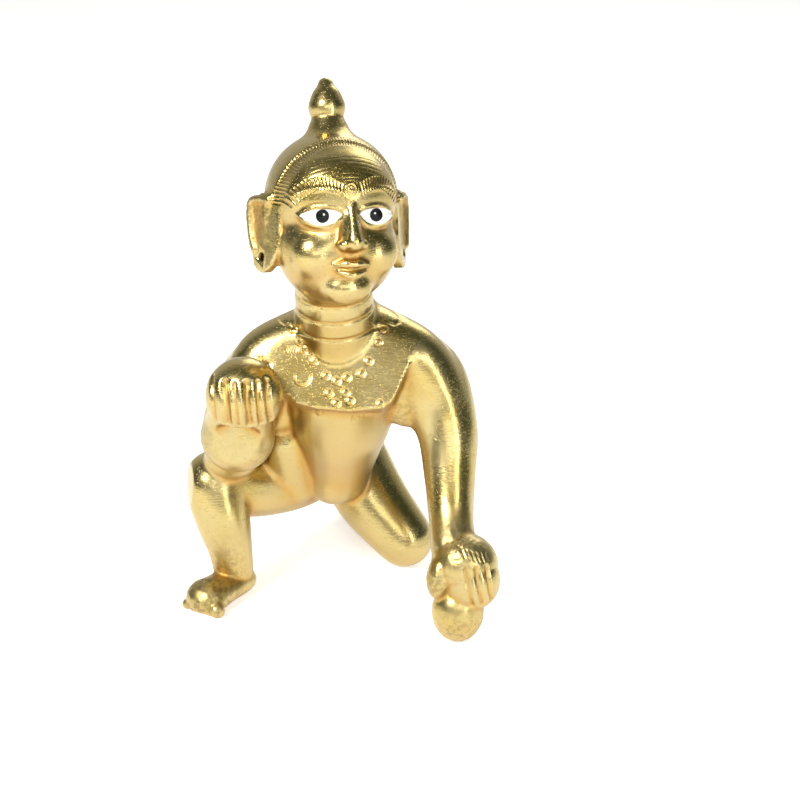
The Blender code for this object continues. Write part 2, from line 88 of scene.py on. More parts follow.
# The head's middle, and how far it turns to its left, looks up and leans, in degrees.
HEAD_AT = Vector((-0.4, -16.4, 79.1))
HEAD_TURN, HEAD_LIFT, HEAD_LEAN = 17.0, 16.0, 3.0
HEAD_FRAME = (
    Matrix.Translation(HEAD_AT)
    @ Matrix.Rotation(math.radians(HEAD_LEAN), 4, "Y")
    @ Matrix.Rotation(math.radians(HEAD_TURN), 4, "Z")
    @ Matrix.Rotation(math.radians(-HEAD_LIFT), 4, "X")
)
BODY_FRAME = Matrix.Identity(4)
SIDES = (-1, 1)

# The face, in the head's own frame: heights of its lines above the middle of the head.
HAIRLINE, BROW_LINE, EYE_LINE, NOSE_BASE, MOUTH_LINE, CHIN = 13.2, 3.2, -0.6, -6.4, -9.7, -16.0
EYE_OUT, EYE_HALF_LENGTH, EYE_HALF_HEIGHT = 5.1, 3.6, 1.75
NOSE_FORWARD, NOSTRIL_OUT = 13.2, 1.75
EAR_THICKNESS, EAR_SPLAY = 1.9, 28.0
EARRING_HOLE_AT = (3.2, -7.6)

# The underside of the raised hand, above the ground.
PALM_HEIGHT = 42.3

# The folds round the front of the neck, as heights on its axis.
NECK_FOLDS = (64.0, 61.0, 57.6)

# The chest plate: the middle of its foot, how far it leans back in degrees, and how thick it is.
CHEST_FOOT = Vector((1.0, -21.4, 42.8))
CHEST_LEAN, CHEST_THICKNESS = 28.0, 9.0
CHEST_FRAME = (
    Matrix.Translation(CHEST_FOOT)
    @ Matrix.Rotation(math.radians(-CHEST_LEAN), 4, "X")
    @ Matrix.Translation((0, CHEST_THICKNESS / 2, 0))
)
# Its edge from armpit to armpit, across and up the plate; then how it closes, crisp or soft.
CHEST_EDGE = [(-14.0, 8.2), (-12.0, 4.5), (-8.9, 1.6), (-5.3, 0.6)]
CHEST_EDGE += [(1.0, 0.0), (7.4, 0.6), (9.2, 2.0), (12.4, 9.0)]
CRISP_TOP = [(9.4, 10.4), (0.0, 11.2), (-10.5, 10.4)]
SOFT_TOP = [(14.2, 11.0), (7.4, 14.4), (0.0, 16.6), (-8.6, 14.4), (-15.4, 11.0)]


# Masses


def skin_loops(bm, loops):
    """Faces between loops of corners, in order, with a flat face on the first and the last."""
    around = len(loops[0])
    for lower, upper in zip(loops, loops[1:]):
        for k in range(around):
            following = (k + 1) % around
            bm.faces.new((lower[k], lower[following], upper[following], upper[k]))
    bm.faces.new(reversed(loops[0]))
    bm.faces.new(loops[-1])


def ball(bm, at, radii, turn=(0, 0, 0), frame=BODY_FRAME, around=40):
    """An ellipsoid at a place, turned by degrees about X, Y and Z."""
    spin = Euler([math.radians(angle) for angle in turn]).to_matrix().to_4x4()
    place = frame @ Matrix.Translation(at) @ spin @ Matrix.Diagonal((*radii, 1))
    loops = []
    for rise in np.linspace(-math.pi / 2, math.pi / 2, around // 2 + 2)[1:-1]:
        loop = []
        for angle in np.arange(around) * 2 * math.pi / around:
            spot = (math.cos(rise) * math.cos(angle), math.cos(rise) * math.sin(angle), math.sin(rise))
            loop.append(bm.verts.new(place @ Vector(spot)))
        loops.append(loop)
    skin_loops(bm, loops)
    return [corner for loop in loops for corner in loop]


def smooth_path(stations, steps, closed=False):
    """Points on a smooth curve through the stations, which may hold a radius too."""
    if closed:
        knots = np.array([stations[-1], *stations, *stations[:2]], float)
    else:
        knots = np.array([stations[0], *stations, stations[-1]], float)
    out = []
    for before, start, end, after in zip(knots, knots[1:], knots[2:], knots[3:]):
        for t in np.arange(steps) / steps:
            bend = (2 * before - 5 * start + 4 * end - after) * t**2
            sway = (3 * start - before - 3 * end + after) * t**3
            out.append(start + 0.5 * ((end - before) * t + bend + sway))
    if not closed:
        out.append(knots[-1])
    return np.array(out)


def limb(bm, stations, frame=BODY_FRAME, flat=1.0, flat_along=(0, 0, 1), around=28, steps=6):
    """A round tapering limb through stations (x, y, z, radius), with round ends.

    flat squashes each ring along flat_along, so that a limb can be a strap or a foot.
    """
    path = smooth_path(stations, steps)
    first, last = path[0], path[-1]
    back = Vector(path[0][:3] - path[1][:3]).normalized()
    onward = Vector(path[-1][:3] - path[-2][:3]).normalized()
    ends = [(math.cos(angle), math.sin(angle)) for angle in np.radians(END_RINGS)]
    rings = []
    for width, rise in reversed(ends):
        rings.append((Vector(first[:3]) + back * first[3] * rise, -back, first[3] * width))
    for index, point in enumerate(path):
        ahead = path[min(index + 1, len(path) - 1)][:3]
        behind = path[max(index - 1, 0)][:3]
        rings.append((Vector(point[:3]), Vector(ahead - behind).normalized(), point[3]))
    for width, rise in ends:
        rings.append((Vector(last[:3]) + onward * last[3] * rise, onward, last[3] * width))
    squash = Vector(flat_along).normalized()
    side = rings[0][1].orthogonal()
    loops = []
    for centre, aim, radius in rings:
        side = (side - aim * side.dot(aim)).normalized()
        over = aim.cross(side)
        loop = []
        for k in range(around):
            angle = 2 * math.pi * k / around
            out = (side * math.cos(angle) + over * math.sin(angle)) * radius
            out -= squash * out.dot(squash) * (1 - flat)
            loop.append(bm.verts.new(frame @ (centre + out)))
        loops.append(loop)
    skin_loops(bm, loops)


def slab(bm, outline, thickness, frame):
    """A flat plate: an outline in the frame's X and Z, thick along its Y."""
    faces = []
    for y in (-thickness / 2, thickness / 2):
        corners = [bm.verts.new(frame @ Vector((x, y, z))) for x, z in outline]
        faces.append(corners)
    front, rear = faces
    bm.faces.new(front)
    bm.faces.new(reversed(rear))
    for k in range(len(outline)):
        following = (k + 1) % len(outline)
        bm.faces.new((front[following], front[k], rear[k], rear[following]))


def torso(bm):
    ball(bm, (-2.2, 13.5, 22.5), (8.8, 9.5, 8.6))
    limb(bm, [
        (0.4, -8.2, 43.4, 10.9),
        (0.0, -5.6, 37.0, 10.3),
        (-0.5, -2.3, 31.0, 9.0),
        (-1.0, 0.8, 25.0, 7.6),
        (-1.6, 2.4, 21.2, 7.0),
    ])
    ball(bm, (0.8, -6.0, 49.6), (16.5, 8.0, 6.6))
    limb(bm, [
        (-18.0, -12.6, 42.6, 5.4),
        (-14.4, -10.9, 49.4, 5.8),
        (-7.6, -9.3, 52.4, 6.3),
        (0.4, -7.6, 54.2, 7.0),
        (8.4, -9.3, 52.4, 6.3),
        (15.0, -10.7, 49.2, 5.9),
        (19.0, -11.6, 42.6, 5.6),
        (20.6, -13.6, 35.6, 4.8),
    ])
    slab(bm, CHEST_EDGE + SOFT_TOP, CHEST_THICKNESS, CHEST_FRAME)
    limb(bm, [(0.4, -3.0, 47.0, 9.5), (-1.0, 4.5, 37.5, 8.6), (-2.2, 11.5, 28.5, 8.2)])
    for side in SIDES:
        ball(bm, (-2.6 + side * 4.4, 18.0, 22.0), (6.6, 7.6, 8.4))


def neck(bm):
    limb(bm, [(0, -7, 49, 10.6), (-0.4, -9.6, 54.5, 8.5), (-0.8, -12.0, 60, 7.5), (-1, -14, 70, 7.4)])
    limb(bm, [(0, -2.5, 50, 8.0), (-0.5, -8.0, 61, 6.8)])


def left_arm(bm):
    limb(bm, [
        (9.0, -6.5, 49.0, 6.6),
        (16.4, -8.5, 45.2, 7.5),
        (20.4, -12.5, 36.5, 6.1),
        (21.0, -16.5, 29.0, 5.1),
        (21.2, -21.5, 21.5, 4.3),
        (21.6, -26.0, 17.0, 4.4),
    ])
    ball(bm, (12.6, -10.0, 42.0), (4.6, 5.0, 6.4))


def right_arm(bm):
    limb(bm, [
        (-9.0, -6.5, 49.0, 6.4),
        (-14.8, -8.5, 46.2, 7.0),
        (-18.4, -10.8, 41.0, 6.8),
        (-19.4, -14.0, 36.2, 7.1),
        (-19.2, -17.4, 36.4, 7.1),
    ])
    limb(bm, [(-19.2, -15.6, 36.4, 7.0), (-18.4, -19.0, 41.0, 6.4), (-17.4, -22.6, 46.5, 6.0)])
    ball(bm, (-21.0, -11.4, 29.6), (5.4, 4.6, 4.2))
    ball(bm, (-12.0, -6.4, 39.2), (4.4, 4.6, 6.2))


def right_leg(bm):
    limb(bm, [
        (-5.5, 13.5, 21.4, 8.8),
        (-10.5, 7.0, 19.8, 8.4),
        (-18.0, -1.5, 20.4, 7.2),
        (-24.8, -8.4, 23.4, 6.3),
    ])
    limb(bm, [(-10.8, -4.6, 30.6, 4.5), (-10.8, -2.6, 26.0, 4.8), (-9.8, 1.2, 19.5, 4.9)])
    limb(bm, [
        (-24.9, -9.0, 23.2, 6.1),
        (-23.3, -10.6, 16.5, 5.5),
        (-22.0, -10.4, 9.5, 4.4),
        (-21.6, -9.6, 4.6, 4.0),
    ])


def left_leg(bm):
    limb(bm, [(1.4, 12.5, 19.5, 7.8), (5.8, 8.4, 12.6, 7.4), (12.3, 4.2, 5.6, 6.1)])
    limb(bm, [
        (12.0, 5.2, 5.4, 5.9),
        (10.0, 12.5, 4.8, 5.3),
        (6.4, 22.0, 4.0, 4.3),
        (4.2, 28.0, 3.5, 3.8),
    ])


def head(bm):
    ball(bm, (0, 2.2, 2.8), (12.0, 13.2, 12.4), frame=HEAD_FRAME)
    ball(bm, (0, -0.6, -5.6), (11.1, 10.4, 10.6), frame=HEAD_FRAME)
    ball(bm, (0, -2.4, 3.0), (10.8, 9.6, 9.8), frame=HEAD_FRAME)
    limb(bm, [(0, 1.6, 7.5, 9.4), (0, 2.2, 12.0, 6.4), (0, 2.6, 15.4, 3.8)], frame=HEAD_FRAME)
    for side in SIDES:
        ball(bm, (side * 5.4, -5.6, -6.8), (4.6, 4.6, 4.8), frame=HEAD_FRAME)
    ball(bm, (0, -6.6, CHIN + 3.0), (4.8, 3.6, 3.4), frame=HEAD_FRAME)


def topknot(bm):
    limb(
        bm,
        [
            (0, 2.6, 15.4, 2.9),
            (0, 2.7, 16.4, 3.0),
            (0, 2.8, 17.5, 2.85),
            (0, 2.9, 18.7, 3.3),
            (0, 3.0, 19.9, 3.45),
            (0, 3.1, 21.3, 3.0),
            (0, 3.2, 22.6, 2.4),
            (0, 3.3, 23.6, 1.55),
        ],
        frame=HEAD_FRAME,
    )


def nose(bm):
    tip = NOSE_BASE + 1.2
    root = BROW_LINE - 1.0
    ridge = [(0, -10.9, root, 0.9), (0, -12.1, root - 3.6, 1.1)]
    ridge += [(0, 0.1 - NOSE_FORWARD, tip + 0.6, 1.4), (0, -NOSE_FORWARD, tip, 1.45)]
    limb(bm, ridge, frame=HEAD_FRAME)
    bed = [(0, -10.0, root, 1.4), (0, -10.7, root - 3.6, 1.9), (0, -11.2, tip + 0.6, 2.2)]
    limb(bm, bed, frame=HEAD_FRAME)
    for side in SIDES:
        wing = (side * NOSTRIL_OUT, 1.5 - NOSE_FORWARD, tip - 0.3)
        ball(bm, wing, (1.15, 1.7, 1.1), frame=HEAD_FRAME, around=20)


def lips(bm):
    line = MOUTH_LINE
    upper = [(-3.1, -10.3, line + 0.4, 0.45), (-1.2, -11.3, line + 0.8, 0.8)]
    upper += [(0, -11.5, line + 0.6, 0.75)]
    upper += [(-x, y, z, radius) for x, y, z, radius in reversed(upper[:2])]
    lower = [(-2.4, -10.5, line - 0.5, 0.5), (0, -11.3, line - 1.1, 1.0), (2.4, -10.5, line - 0.5, 0.5)]
    for lip in (upper, lower):
        limb(bm, lip, frame=HEAD_FRAME, around=16)


def eyes(bm):
    for side in SIDES:
        at = (side * EYE_OUT, -7.5, EYE_LINE)
        ball(bm, at, (3.7, 3.4, 2.3), turn=(0, 0, side * 24), frame=HEAD_FRAME)


def ear_frame(side):
    """The frame of an ear plate: X runs back and out from the head, Y is its thickness, Z is up."""
    splay = math.radians(EAR_SPLAY)
    along = Vector((side * math.sin(splay), math.cos(splay), 0))
    upward = Vector((0, 0, 1))
    across = upward.cross(along)
    turn = Matrix((along, across, upward)).transposed().to_4x4()
    return HEAD_FRAME @ Matrix.Translation((side * 11.2, -0.6, 0.4)) @ turn


def ear(bm, side):
    frame = ear_frame(side)
    outline = [(-1.5, 2.6), (2.8, 3.6), (5.9, 3.2), (6.7, 0.6), (6.3, -4.0)]
    outline += [(5.6, -8.6), (4.4, -10.2), (2.4, -10.4), (0.2, -8.6), (-1.5, -5.0)]
    slab(bm, smooth_path(outline, 4, closed=True), EAR_THICKNESS, frame)
    outer_face = -side * EAR_THICKNESS / 2
    rim = [(0.6, 2.4), (3.0, 2.9), (5.4, 2.4), (5.9, 0.2), (5.6, -3.8), (5.0, -6.2)]
    limb(bm, [(x, outer_face, z, 0.75) for x, z in rim], frame=frame, around=14)


def right_hand(bm):
    """A cupped hand, its fingers up around the front of the sweet."""
    cupped = ball(bm, (-17.2, -24.0, 46.9), (7.2, 6.9, 7.2), around=64)
    for corner in cupped:
        corner.co.z = max(corner.co.z, PALM_HEIGHT + 0.07 * abs(corner.co.x + 17))


def left_hand(bm):
    """A fist closed over a sweet that stands on the ground."""
    ball(bm, (23.7, -27.6, 14.4), (6.4, 5.9, 6.0), turn=(0, 14, 0))
    ball(bm, (25.0, -28.8, 11.6), (5.4, 5.2, 5.8), turn=(0, 14, 0))
    ball(bm, (18.9, -29.6, 12.6), (2.5, 3.2, 4.3), turn=(0, 6, 0))
    ball(bm, (22.4, -29.0, 5.4), (5.0, 5.0, 6.0))


def foot(bm, heel, ball_of_foot, toe_from, toe_to, width, toe_widths):
    """A foot from the heel to the ball, and five toes in a row from the big one to the small."""
    middle = Vector(heel).lerp(Vector(ball_of_foot), 0.5)
    limb(bm, [(*heel, width * 0.86), (*middle, width * 0.88), (*ball_of_foot, width)], flat=0.76)
    toes = 5
    for toe in range(toes):
        share = toe / (toes - 1)
        tip = Vector(toe_from).lerp(Vector(toe_to), share)
        root = Vector(ball_of_foot).lerp(tip, 0.35)
        radius = toe_widths[0] + (toe_widths[1] - toe_widths[0]) * share
        limb(bm, [(*root, radius), (*tip, radius)], steps=3, around=16)


def right_foot(bm):
    toes = ((-24.0, -20.6, 1.3), (-30.2, -16.8, 0.9))
    foot(bm, (-21.0, -9.2, 2.6), (-26.0, -16.6, 2.5), *toes, 4.5, (1.6, 1.1))


def left_foot(bm):
    toes = ((-1.6, 37.8, 1.2), (4.6, 38.6, 0.8))
    foot(bm, (4.2, 28.4, 3.6), (2.4, 34.6, 2.9), *toes, 4.2, (1.5, 1.1))


def chest_plate(bm):
    """The plate again, for its crisp edge; its top lies flush in the soft one."""
    slab(bm, CHEST_EDGE + CRISP_TOP, CHEST_THICKNESS, CHEST_FRAME)


SOFT_MASSES = (torso, neck, left_arm, right_arm, right_leg, left_leg, head)
CRISP_MASSES = (chest_plate, topknot, nose, lips, eyes, right_hand, left_hand, right_foot, left_foot)


# Working the skin

# How far the lids' rims, the brows and the hair stand out, and how deep the eyes and sockets lie.
LID_RISE, BROW_RISE, HAIR_RISE = 0.42, 0.32, 0.3
EYE_DEPTH, SOCKET_DEPTH = 0.3, 0.45

# Width and height of a groove; a negative height is cut in.
LIP_LINE = (0.5, -0.5)
NECK_FOLD = (0.6, -0.3)
FIST_GROOVE = (0.7, -0.6)

# Between the raised hand's fingers: where each groove lies across, and its width.
FINGER_GROOVES = ((-22.8, 0.7), (-20.3, 1.1), (-18.4, 0.6), (-16.2, 1.1), (-14.3, 0.7), (-12.6, 0.9))
# How deep such a groove is for its width.
FINGER_GROOVE_DEPTH = 0.95

# Between the leaning fist's fingers: where each groove lies across.
FIST_GROOVES = (23.6, 25.6, 27.6)


def melt(bm, name, grain, rubs):
    """Turns overlapping masses into one skin, and rubs it smooth."""
    mesh = bpy.data.meshes.new(name)
    bmesh.ops.recalc_face_normals(bm, faces=bm.faces)
    bm.to_mesh(mesh)
    bm.free()
    item = bpy.data.objects.new(name, mesh)
    bpy.context.scene.collection.objects.link(item)
    skin = item.modifiers.new("skin", "REMESH")
    skin.mode = "VOXEL"
    skin.voxel_size = grain
    rub = item.modifiers.new("rub", "SMOOTH")
    rub.factor = 0.5
    rub.iterations = rubs
    apply_modifiers(item)
    return item


def apply_modifiers(item):
    bpy.context.view_layer.objects.active = item
    for modifier in list(item.modifiers):
        bpy.ops.object.modifier_apply(modifier=modifier.name)


def corners_of(item):
    corners = np.empty(len(item.data.vertices) * 3)
    item.data.vertices.foreach_get("co", corners)
    return corners.reshape(-1, 3)


def normals_of(item):
    normals = np.empty(len(item.data.vertices) * 3)
    item.data.vertices.foreach_get("normal", normals)
    return normals.reshape(-1, 3)


def place_corners(item, corners):
    item.data.vertices.foreach_set("co", np.ascontiguousarray(corners).ravel())
    item.data.update()


def in_frame(corners, frame):
    """World corners as seen in a frame."""
    back = np.array(frame.inverted())
    return corners @ back[:3, :3].T + back[:3, 3]


def swell(item, amount):
    """Moves every corner out along its normal; amount is one number for each corner."""
    place_corners(item, corners_of(item) + normals_of(item) * amount[:, None])


def file_flat(item, at, facing, reach, fade=0.0):
    """Files the skin down to a plane through a spot, within a reach of it, less over the fade."""
    corners = corners_of(item)
    facing = np.array(Vector(facing).normalized())
    away = corners - np.array(at)
    proud = away @ facing
    beside = np.linalg.norm(away - proud[:, None] * facing, axis=1)
    filed = (proud > 0) & (beside < reach) & (proud < reach)
    share = np.clip((reach - beside) / fade, 0, 1) if fade else np.ones(len(corners))
    corners[filed] -= (proud * share * share * (3 - 2 * share))[filed, None] * facing
    place_corners(item, corners)


def tree_of(item):
    bm = bmesh.new()
    bm.from_mesh(item.data)
    tree = BVHTree.FromBMesh(bm)
    bm.free()
    return tree


def on_skin(item, lines, aim, frame=BODY_FRAME, start=40.0):
    """Where lines of points land on the skin when they are pushed along aim in the frame."""
    tree = tree_of(item)
    aim_in = Vector(aim)
    push = frame.to_3x3() @ aim_in
    landed = []
    for line in lines:
        hits = (tree.ray_cast(frame @ (Vector(point) - aim_in * start), push)[0] for point in line)
        landed.append([hit for hit in hits if hit])
    return landed


def strokes(item, lines, width, height, sharp=1.0, step=0.2):
    """Raises, or with a negative height cuts, a stroke along each line of points on the skin."""
    spots = []
    for line in lines:
        for start, end in zip(line, line[1:]):
            count = max(1, round((end - start).length / step))
            spots += [start.lerp(end, k / count) for k in range(count)]
        spots += line[-1:]
    tree = KDTree(len(spots))
    for index, spot in enumerate(spots):
        tree.insert(spot, index)
    tree.balance()
    corners = corners_of(item)
    cloud = np.array(spots)
    near = np.all((corners > cloud.min(axis=0) - width) & (corners < cloud.max(axis=0) + width), axis=1)
    amount = np.zeros(len(corners))
    for index in np.flatnonzero(near):
        distance = tree.find(corners[index])[2]
        amount[index] = height * max(0.0, 1 - distance / width) ** sharp
    swell(item, amount)


def line_between(start, end, count=12):
    return [Vector(start).lerp(Vector(end), k / (count - 1)) for k in range(count)]


def step_up(signed, width):
    """Zero below the edge and one above it, with a short smooth rise."""
    t = np.clip(signed / width * 0.5 + 0.5, 0, 1)
    return t * t * (3 - 2 * t)


def mound(distance, width):
    return np.exp(-((distance / width) ** 2))


def carve_face(item):
    """Eye sockets, lids and brows, in the head's own frame."""
    spots = in_frame(corners_of(item), HEAD_FRAME)
    x, y, z = np.abs(spots[:, 0]), spots[:, 1], spots[:, 2]
    front = step_up(-5.0 - y, 2.0) * (np.linalg.norm(spots, axis=1) < 18)
    along = (x - EYE_OUT) / EYE_HALF_LENGTH
    lid_line = EYE_LINE + 0.5 * along**2
    half_height = EYE_HALF_HEIGHT * np.clip(1 - along**2, 0, 1) ** 0.7
    from_rim = np.abs(z - lid_line) - half_height
    past_corner = np.clip(np.abs(along) - 1, 0, None) * EYE_HALF_LENGTH
    rim = mound(np.hypot(from_rim, past_corner), 0.42)
    inside = step_up(-from_rim, 0.4) * (np.abs(along) < 1)
    socket = mound(np.hypot((x - EYE_OUT) / 1.8, z - EYE_LINE - 0.2), 2.6)
    brow_line = BROW_LINE + 1.3 * (1 - ((x - 5.4) / 4.6) ** 2)
    brow = mound(z - brow_line, 0.55) * step_up(x - 1.4, 0.8) * step_up(9.6 - x, 1.2)
    swell(item, front * (LID_RISE * rim - EYE_DEPTH * inside - SOCKET_DEPTH * socket + BROW_RISE * brow))


def carve_hair(item):
    """The hair is a cap that stands a little proud of the face."""
    spots = in_frame(corners_of(item), HEAD_FRAME)
    x, y, z = np.abs(spots[:, 0]), spots[:, 1], spots[:, 2]
    behind = 0.928 * (y + 5.4) + 0.371 * (z - HAIRLINE)
    cap = step_up(behind, 0.5) * step_up(z + 8.0, 1.5) * (x < 12.9) * step_up(15.0 - z, 4.0)
    swell(item, HAIR_RISE * cap)


def carve_mouth(item):
    smile = [(x, 0, MOUTH_LINE - 0.25 + 0.035 * x * x) for x in np.linspace(-3.2, 3.2, 17)]
    strokes(item, on_skin(item, [smile], (0, 1, 0), HEAD_FRAME), *LIP_LINE)


def carve_neck(item):
    """Three folds round the front of the neck, each a ring tilted like the neck itself."""
    tree = tree_of(item)
    folds = []
    for height in NECK_FOLDS:
        middle = Vector((-0.5, -9.6 - 0.43 * (height - 54.5), height))
        fold = []
        for degrees in range(-110, 111, 5):
            angle = math.radians(degrees)
            out = Vector((math.sin(angle), -math.cos(angle), -0.25 * math.cos(angle)))
            fold.append(tree.ray_cast(middle + out * 9.6, -out)[0])
        folds.append([spot for spot in fold if spot])
    strokes(item, folds, *NECK_FOLD)


def carve_hands(item):
    """The grooves between the fingers of both hands."""
    for x, width in FINGER_GROOVES:
        groove = line_between((x, 0, PALM_HEIGHT + 8.8), (x + 0.5, 0, PALM_HEIGHT + 1.0))
        strokes(item, on_skin(item, [groove], (0, 1, 0)), width, -FINGER_GROOVE_DEPTH * width)
    leaning = []
    for x in FIST_GROOVES:
        leaning.append(line_between((x, 0, 17.2 - 0.05 * x), (x + 1.2, 0, 8.6)))
    strokes(item, on_skin(item, leaning, (0, 1, 0)), *FIST_GROOVE)


def file_facets(item):
    """The broad flats that the polisher's wheel left on the elbow and the knee."""
    file_flat(item, (-19.0, -23.1, 36.0), (0.0, -0.995, 0.1), 6.2, fade=1.4)
    file_flat(item, (-29.8, -9.5, 22.5), (-0.95, -0.25, 0.1), 8.0)


# The skin of the finished figure

# How many triangles are left to the plain limbs, outside the chased places.
PLAIN_TRIANGLES = 44000

# Where marks lie on the hands: a spot on the grid, and how far from it they reach.
KNUCKLES = ((25.5, -32.0, 18.5), 4)
RAISED_HAND = ((-17.2, -27.5, 46.0), 9.5)
LEANING_HAND = ((23.5, -31.0, 11.5), 9)


def build_figure():
    """The skin on the grid, with the carving that the solid has too."""
    soft = bmesh.new()
    for mass in SOFT_MASSES:
        mass(soft)
    body = melt(soft, "body", BODY_GRAIN, BODY_RUBS)
    file_facets(body)
    crisp = bmesh.new()
    for mass in CRISP_MASSES:
        mass(crisp)
    for side in SIDES:
        ear(crisp, side)
    crisp.from_mesh(body.data)
    bpy.data.objects.remove(body, do_unlink=True)
    figure = melt(crisp, "figure", DETAIL_GRAIN, DETAIL_RUBS)
    carve_hair(figure)
    carve_face(figure)
    carve_mouth(figure)
    carve_neck(figure)
    carve_hands(figure)
    return figure


def near_spot(corners, spot, reach):
    return np.linalg.norm(corners - np.array(spot), axis=1) < reach


def finely_marked(corners):
    """True where the smallest marks go: the brows and hair edge, the chest plate and the knuckles."""
    x, y, z = in_frame(corners, HEAD_FRAME).T
    forehead = (y < 1.5) & (z > 0.5) & (z < 15.5) & (np.abs(x) < 12.6)
    gx, gy, gz = corners.T
    plate = (gy < -12) & (gz > 42) & (gz < 59) & (np.abs(gx - CHEST_FOOT.x) < 12)
    return forehead | plate | near_spot(corners, *KNUCKLES)


def chased(corners):
    """True where the carving is kept whole: the face and hair edge, the chest and the hands."""
    x, y, z = in_frame(corners, HEAD_FRAME).T
    face = (y < 1.5) & (z > -17) & (z < 15.5) & (np.abs(x) < 13)
    gx, gy, gz = corners.T
    chest = (gy < -11) & (gz > 40.0) & (gz < 60) & (gx > -15) & (gx < 18)
    return face | chest | near_spot(corners, *RAISED_HAND) | near_spot(corners, *LEANING_HAND)


def thin_out(item):
    """Fewer faces on the plain limbs; the chased places keep all of theirs."""
    fine = chased(corners_of(item))
    plain = item.vertex_groups.new(name="plain")
    plain.add([int(index) for index in np.flatnonzero(~fine)], 1.0, "REPLACE")
    four_each = np.empty(len(item.data.polygons) * 4, int)
    item.data.polygons.foreach_get("vertices", four_each)
    fine_faces = np.sum(np.all(fine[four_each.reshape(-1, 4)], axis=1))
    thin = item.modifiers.new("thin", "DECIMATE")
    thin.vertex_group = plain.name
    thin.ratio = (PLAIN_TRIANGLES + 2 * fine_faces) / (2 * len(item.data.polygons))
    thin.use_collapse_triangulate = True
    apply_modifiers(item)
    item.vertex_groups.clear()


def refine(item):
    """Splits the faces in four where the smallest marks go, and rubs them smooth."""
    bm = bmesh.new()
    bm.from_mesh(item.data)
    fine = finely_marked(corners_of(item))
    edges = [edge for edge in bm.edges if all(fine[corner.index] for corner in edge.verts)]
    made = bmesh.ops.subdivide_edges(bm, edges=edges, cuts=1, use_grid_fill=True)
    inner = [part for part in made["geom"] if isinstance(part, bmesh.types.BMVert)]
    bmesh.ops.smooth_vert(
        bm, verts=inner, factor=0.5, use_axis_x=True, use_axis_y=True, use_axis_z=True
    )
    bmesh.ops.triangulate(bm, faces=bm.faces)
    bm.to_mesh(item.data)
    bm.free()


# Chasing

# Width and height of each kind of mark; one with a negative height is cut in.
BROW_HATCHING = (0.27, -0.26)
BROW_RING = (0.26, 0.16)
FILE_MARKS = (0.2, -0.05)
HAIR_EDGE_HATCHING = (0.22, -0.17)
CHEST_RINGS = (0.24, -0.19)
CHEST_MARKS = (0.26, -0.18)
KNUCKLE_HATCHING = (0.24, -0.14)

# The ring between the brows: its middle in the head's frame, and the radii of its two circles.
BROW_RING_AT = (0, 0, 4.3)
BROW_RING_RADII = (0.95, 0.4)
CHEST_RING_RADIUS = 0.7

# How far the hair edge's strokes go round each side of the head, and apart, in degrees.
HAIR_EDGE_TURN, HAIR_EDGE_STEP = 74, 2.6


def ring_on(item, middles, radius, aim, frame=BODY_FRAME, around=14):
    """Small rings pressed on the skin about middles, seen along aim."""
    aim = Vector(aim).normalized()
    side = aim.orthogonal().normalized()
    over = aim.cross(side)
    rings = []
    for middle in middles:
        ring = []
        for angle in np.arange(around + 1) * 2 * math.pi / around:
            ring.append(Vector(middle) + (side * math.cos(angle) + over * math.sin(angle)) * radius)
        rings.append(ring)
    return on_skin(item, rings, aim, frame)


def fan(start, end, count, rise, lean, length):
    """Short strokes side by side along an arch in X and Z, leaning out from its middle."""
    marks = []
    for share in np.linspace(0, 1, count):
        x = start[0] + (end[0] - start[0]) * share
        z = start[1] + (end[1] - start[1]) * share + rise * math.sin(math.pi * share)
        tilt = math.radians(lean[0] + (lean[1] - lean[0]) * share)
        tip = (x + math.sin(tilt) * length, 0, z + math.cos(tilt) * length)
        marks.append(line_between((x, 0, z), tip, 6))
    return marks


def chase_face(item):
    """Hatched brows, a ring between them and the file's faint marks over the forehead."""
    marks = []
    for side in SIDES:
        start, end, lean = (side * 2.0, 3.2), (side * 9.6, 1.6), (side * -8, side * 42)
        marks += fan(start, end, count=16, rise=2.0, lean=lean, length=2.0)
    strokes(item, on_skin(item, marks, (0, 1, 0), HEAD_FRAME), *BROW_HATCHING)
    rings = []
    for radius in BROW_RING_RADII:
        rings += ring_on(item, [BROW_RING_AT], radius, (0, 1, 0), HEAD_FRAME)
    strokes(item, rings, *BROW_RING)
    lines = []
    for height in np.arange(6.2, 10.4, 0.75):
        lines.append([(x, 0, height - 0.03 * x * x) for x in np.linspace(-6.4, 6.4, 25)])
    strokes(item, on_skin(item, lines, (0, 1, 0), HEAD_FRAME), *FILE_MARKS)


def chase_hair_edge(item):
    """A band of short strokes where the hair starts, over the forehead and down to the ears."""
    marks = []
    for turn in np.arange(-HAIR_EDGE_TURN, HAIR_EDGE_TURN + 1, HAIR_EDGE_STEP):
        angle = math.radians(turn)
        aim = Vector((math.sin(angle), 0, math.cos(angle)))
        root = Vector((aim.x * 11.3, 0, aim.z * 14.2 - 1.8))
        marks.append([root + aim * step for step in np.linspace(0, 1.3, 6)])
    strokes(item, on_skin(item, marks, (0, 1, 0), HEAD_FRAME), *HAIR_EDGE_HATCHING)


